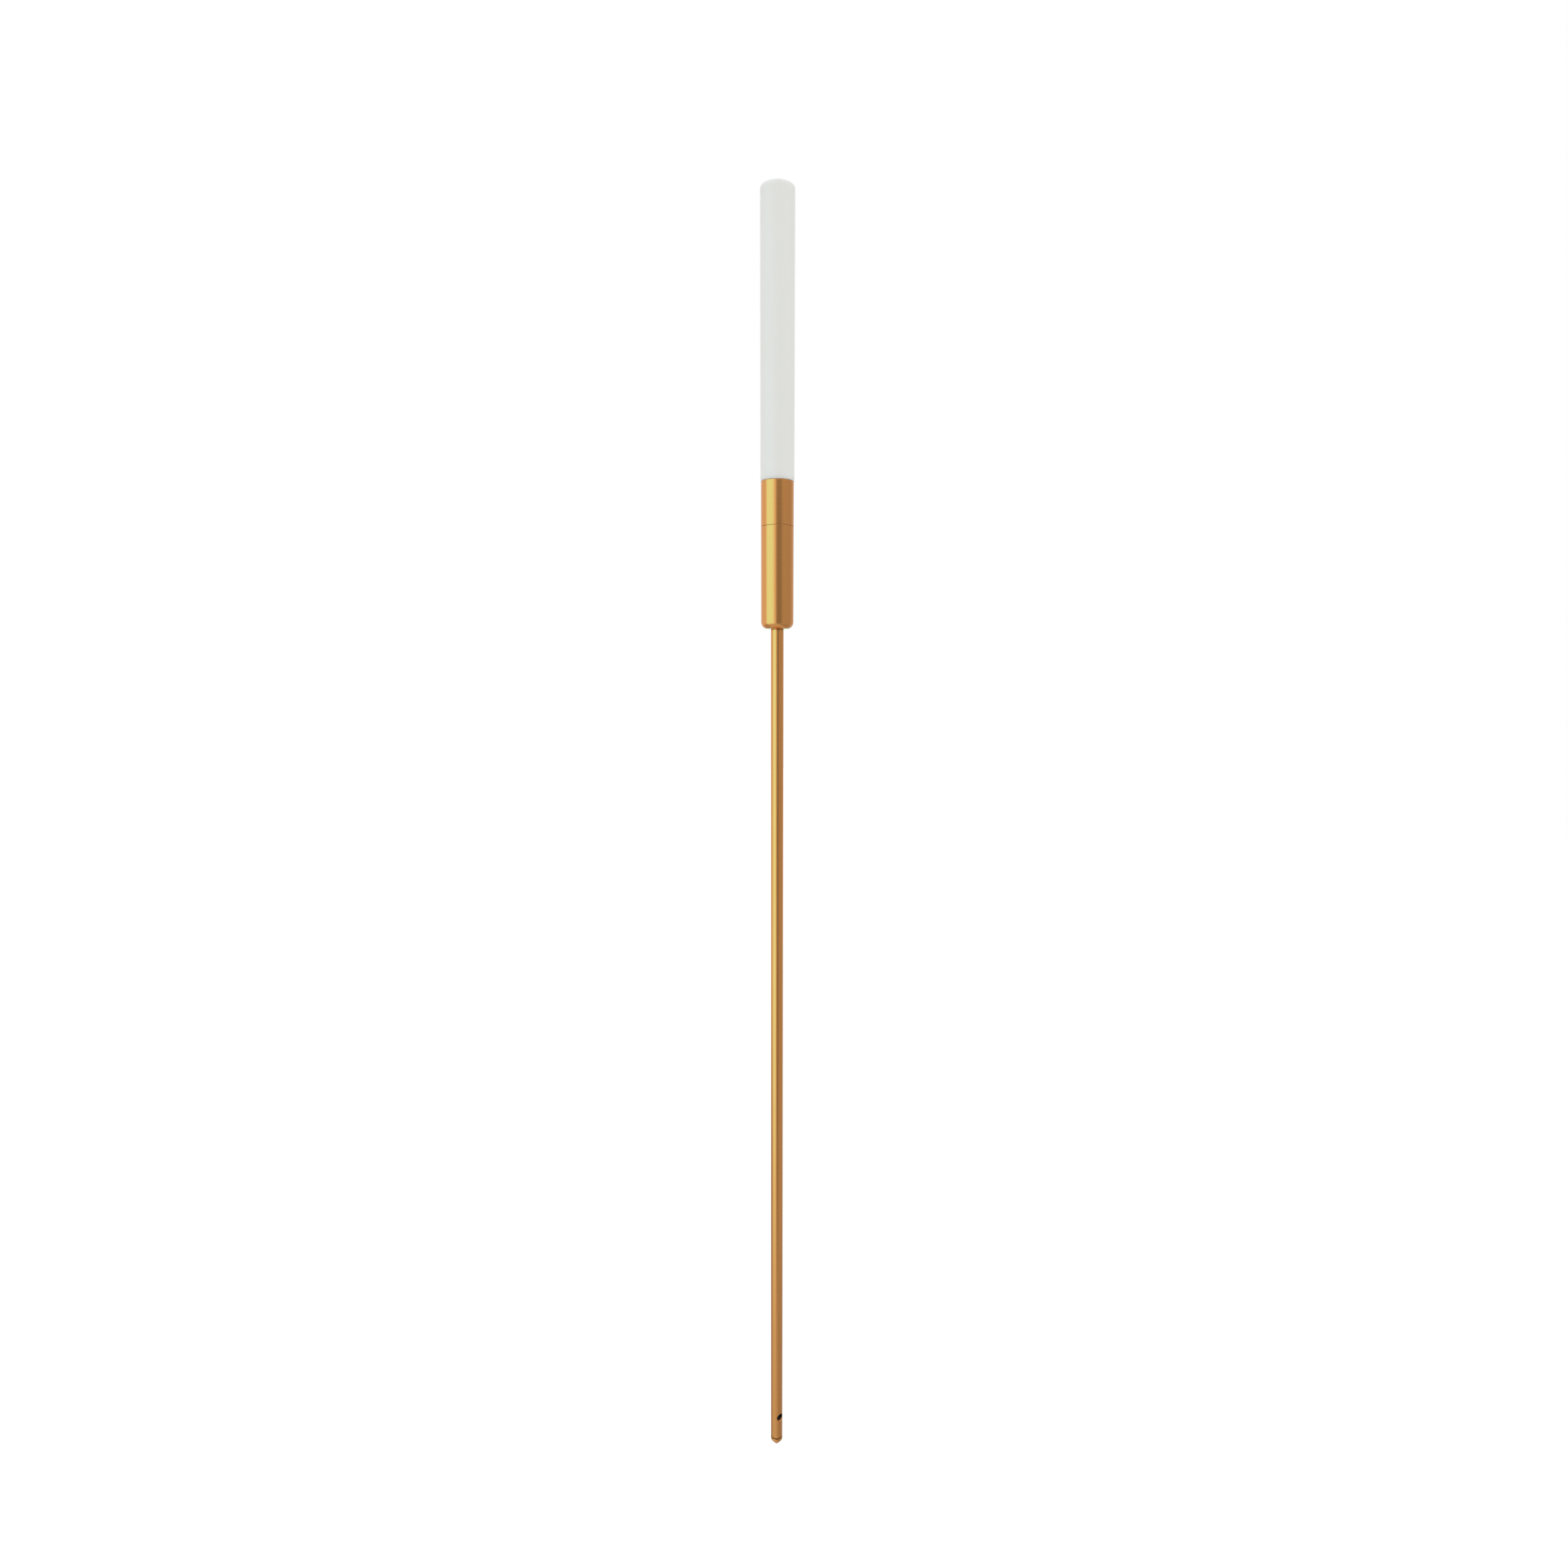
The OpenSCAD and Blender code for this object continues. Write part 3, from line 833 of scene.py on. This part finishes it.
# %% [markdown]
# ## The bearings and the other hidden pieces
#
# Each bearing has eight balls in a brass cage. The balls are made by the ring tree, one ring for each
# bearing, because the two sets roll as bodies of their own.

# %% Make the balls
BALLS = 8

for place in ("upper", "lower"):
    node = place + "_bearing_balls"
    ball_r = (high(node) - low(node)) / 2
    blank = bpy.data.objects.new(place + "_ball_ring", bpy.data.meshes.new(place + "_ball_ring"))
    bpy.context.scene.collection.objects.link(blank)
    with_tree(
        blank,
        ring_of_balls,
        count=BALLS,
        pitch_radius=radius(node) - ball_r,
        ball_radius=ball_r,
        height=(high(node) + low(node)) / 2,
        crisp_angle=CRISP_ANGLE,
        finish=bearing_steel,
    )
    stands_for(bake(blank), node, place + "_ball_set")

# %% [markdown]
# Every other hidden piece keeps the mesh of the engineering model, whose shape is right as it is, and
# only gets its finish. A piece has one material slot, so putting the finish there is all it takes.

# %% Finish the hidden pieces
finishes = {
    steel: ("spindle", "hub_shim", "inner_spacer", "rod_washer"),
    bearing_steel: [
        place + "_bearing_" + part
        for place in ("upper", "lower")
        for part in ("inner_race", "outer_race", "shields")
    ],
    spring_steel: ("retaining_ring", "wave_washer"),
    black_steel: ("rod_screw",),
    brass: ("upper_bearing_cage", "lower_bearing_cage", "rod_anchor"),
    aluminium: ("outer_spacer",),
    rubber: ("dust_seal",),
}
for material, nodes in finishes.items():
    for node in nodes:
        frame["nodes"][node].material_slots[0].material = material
print("finished", sum(len(nodes) for nodes in finishes.values()), "hidden pieces")

# %% [markdown]
# ## The camera
#
# The wand stands upright in front of a wide lens. The lens is level with the upper part of the rod and
# looks down slightly. Its place is given from the wand: how far below the top of the grip it aims, how
# far away it stands, how far round it has walked, and a small step and tilt to one side.

# %% Place the camera
AIM_BELOW_TOP = 258.2 * MM
DISTANCE = 407.1 * MM
STEP_RIGHT = 3.2 * MM
LOOK_ROUND = math.radians(51)
LOOK_DOWN = math.radians(7.09)
ROLL = math.radians(0.1)
LENS = 20.03  # mm, on a sensor 36 mm wide
SENSOR = 36
NEAREST = 10 * MM

right = Vector((math.cos(LOOK_ROUND), math.sin(LOOK_ROUND), 0))
back = Vector(
    (
        math.sin(LOOK_ROUND) * math.cos(LOOK_DOWN),
        -math.cos(LOOK_ROUND) * math.cos(LOOK_DOWN),
        math.sin(LOOK_DOWN),
    )
)
aim = Vector((0, 0, high("grip_tube") - AIM_BELOW_TOP)) + right * STEP_RIGHT
camera = bpy.data.objects.new("camera", bpy.data.cameras.new("camera"))
camera.data.lens = LENS
camera.data.sensor_width = SENSOR
camera.data.clip_start = NEAREST
camera.location = aim + back * DISTANCE
upright = (-back).to_track_quat("-Z", "Y").to_matrix()
camera.rotation_euler = (upright @ Matrix.Rotation(ROLL, 3, "Z")).to_euler()
bpy.context.scene.collection.objects.link(camera)
bpy.context.scene.camera = camera
print("the camera stands", [round(value / MM) for value in camera.location], "mm from the origin")

# %% [markdown]
# ## Light and floor
#
# The room lights the wand evenly from all round, which is what makes the frosted grip look so calm. A
# satin metal shows the room more than it shows itself, so even light alone would leave it flat. So
# cards stand round the metal: bright ones draw its streaks, and dark gaps between them draw its shaded
# bands. The world gives the even light here, and shows the camera itself a plain white backdrop. The
# cards are painted on a large shell that only reflections can see.

# %% Even light from the world
ROOM_LEVEL = 0.88
WHITE = (1, 1, 1, 1)

world = bpy.data.worlds.new("studio")
world.use_nodes = True
bpy.context.scene.world = world
room = world.node_tree
room.nodes.clear()
seen = add(room, "ShaderNodeLightPath").outputs["Is Camera Ray"]
even = (ROOM_LEVEL, ROOM_LEVEL, ROOM_LEVEL, 1)
sky = add(room, "ShaderNodeBackground", inputs={"Color": mixed(room, seen, even, WHITE)})
room.links.new(sky.outputs[0], add(room, "ShaderNodeOutputWorld").inputs["Surface"])
print("the room's light is", ROOM_LEVEL, "of the white backdrop")

# %% [markdown]
# A card is a patch of the shell. Its sides are directions round from the camera and its heights are
# above level, both in degrees, and the third number of each is how soft those edges are. The shell's
# material works out both directions from Object coordinates, which start at the wand, so the cards stay
# where they hang. Each new card is laid over the ones before it.


# %% Paint one card
def card(tree, light, where, sides, heights, level, tint):
    from_camera, height = where
    left, right_side, soft_round = (math.radians(value) for value in sides)
    bottom, top, soft_height = (math.radians(value) for value in heights)
    turned_away = number(tree, "SUBTRACT", from_camera, (left + right_side) / 2)
    away = number(tree, "ABSOLUTE", number(tree, "WRAP", turned_away, math.pi, -math.pi))
    half = (right_side - left) / 2
    across = smooth_step(tree, away, half + soft_round, half - soft_round)
    above = smooth_step(tree, height, bottom - soft_height, bottom + soft_height)
    below = smooth_step(tree, height, top + soft_height, top - soft_height)
    mask = number(tree, "MULTIPLY", across, number(tree, "MULTIPLY", above, below))
    glow = (*(level * part for part in tint), 1.0)
    return mixed(tree, mask, light, glow)


cards = bpy.data.materials.new("studio_cards")
cards.use_nodes = True
paint = cards.node_tree
paint.nodes.clear()
spot = add(paint, "ShaderNodeTexCoord").outputs["Object"]
aimed = add(paint, "ShaderNodeVectorMath", {"operation": "NORMALIZE"}, {0: spot}).outputs[0]
parts = add(paint, "ShaderNodeSeparateXYZ", inputs={0: aimed}).outputs
compass = number(paint, "ARCTAN2", parts["Y"], parts["X"])
facing = math.atan2(back.y, back.x)
where = (number(paint, "SUBTRACT", compass, facing), number(paint, "ARCSINE", parts["Z"]))
print("the camera is at", round(math.degrees(facing)), "degrees on the shell's compass")

# %% [markdown]
# The bright card left of the camera is cool, because a cool light on gold gives the pale yellow of a
# real highlight. A dark gap faces the camera, and a dim card is on the right. A narrow bright card stands
# behind the wand for whoever walks round it. Otherwise it is fairly dark behind, because the outline of
# a round metal piece reflects what is behind it and would melt into a white backdrop.

# %% Hang the cards
ALL_ROUND = (-180, 180, 1)
PLAIN = (1.0, 1.0, 1.0)
WARM = (1.0, 0.96, 0.96)
COOL = (0.57, 0.99, 1.0)
CARDS = {
    # name: (sides, heights, level, tint); a height past -90 only means all the way down
    "behind, to the right": ((84, 192, 12), (-62, 45, 8), 0.6, WARM),
    "behind, to the left": ((192, 280, 12), (-62, 45, 8), 0.74, WARM),
    "behind, low": ((84, 276, 12), (-62, -26, 7), 0.42, WARM),
    "in front, low": ((-84, 84, 12), (-62, -37, 7), 0.55, PLAIN),
    "underneath": (ALL_ROUND, (-120, -62, 7), 0.55, WARM),
    "bright card on the left": ((-82, -26, 7), (-31, 28, 8), 1.5, COOL),
    "dim card on the right": ((26, 122, 8), (-36, 20, 6), 0.44, WARM),
    "its lower part": ((26, 122, 8), (-62, -36, 6), 0.37, WARM),
    "dark gap": ((-9, 32, 8), (-38, 20, 6), 0.26, PLAIN),
    "bright card behind": ((172, 188, 6), (-36, 28, 8), 1.4, COOL),
}

# The shell starts as bright as the room, and the cards are laid over it one by one.
light = add(paint, "ShaderNodeRGB").outputs[0]
light.default_value = even
for sides, heights, level, tint in CARDS.values():
    light = card(paint, light, where, sides, heights, level, tint)
glow = add(paint, "ShaderNodeEmission", inputs={"Color": light})
paint.links.new(glow.outputs[0], add(paint, "ShaderNodeOutputMaterial").inputs["Surface"])
cards.cycles.emission_sampling = "NONE"
print("hung", len(CARDS), "cards:", ", ".join(CARDS))

# %% [markdown]
# The shell itself is a plain sphere, so large that the wand sees every card from its middle. Only
# reflections see the shell, and only the camera sees the floor. The floor is plain and pale. The room
# lights it to about three quarters of white, and a little light of its own brings it up to the
# backdrop, so that nothing but the wand is seen.

# %% Set up the shell and the floor
SHELL_SIZE = 30.0
SHELL_SIDES, SHELL_RINGS = 48, 24
FLOOR_DROP = 60 * MM
FLOOR_SIZE = 6.0
FLOOR_GLOW = 0.27


def on_stage(name, shape, material, reflected):
    mesh = bpy.data.meshes.new(name)
    shape.to_mesh(mesh)
    shape.free()
    mesh.materials.append(material)
    thing = bpy.data.objects.new(name, mesh)
    bpy.context.scene.collection.objects.link(thing)
    thing.visible_diffuse = False
    thing.visible_transmission = False
    thing.visible_shadow = False
    thing.visible_camera = not reflected
    thing.visible_glossy = reflected
    print(name, "has", len(mesh.polygons), "faces")


pale = bpy.data.materials.new("pale_floor")
pale.use_nodes = True
pale_shader = pale.node_tree.nodes["Principled BSDF"]
pale_shader.inputs["Base Color"].default_value = colour("#F4F4F2")
pale_shader.inputs["Roughness"].default_value = 0.9
pale_shader.inputs["Emission Color"].default_value = WHITE
pale_shader.inputs["Emission Strength"].default_value = FLOOR_GLOW
work = bmesh.new()
flat = Matrix.Translation((0, 0, cad_low.z - FLOOR_DROP))
bmesh.ops.create_grid(work, x_segments=1, y_segments=1, size=FLOOR_SIZE / 2, matrix=flat)
on_stage("floor", work, pale, reflected=False)
work = bmesh.new()
bmesh.ops.create_uvsphere(work, u_segments=SHELL_SIDES, v_segments=SHELL_RINGS, radius=SHELL_SIZE)
on_stage("shell", work, cards, reflected=True)
bpy.context.scene.view_settings.view_transform = "Standard"

# %% [markdown]
# ## Finish
#
# The finished wand must be as big as the engineering model says. The last call brings the scene
# up to date.

# %% Update the scene
bpy.context.view_layer.update()
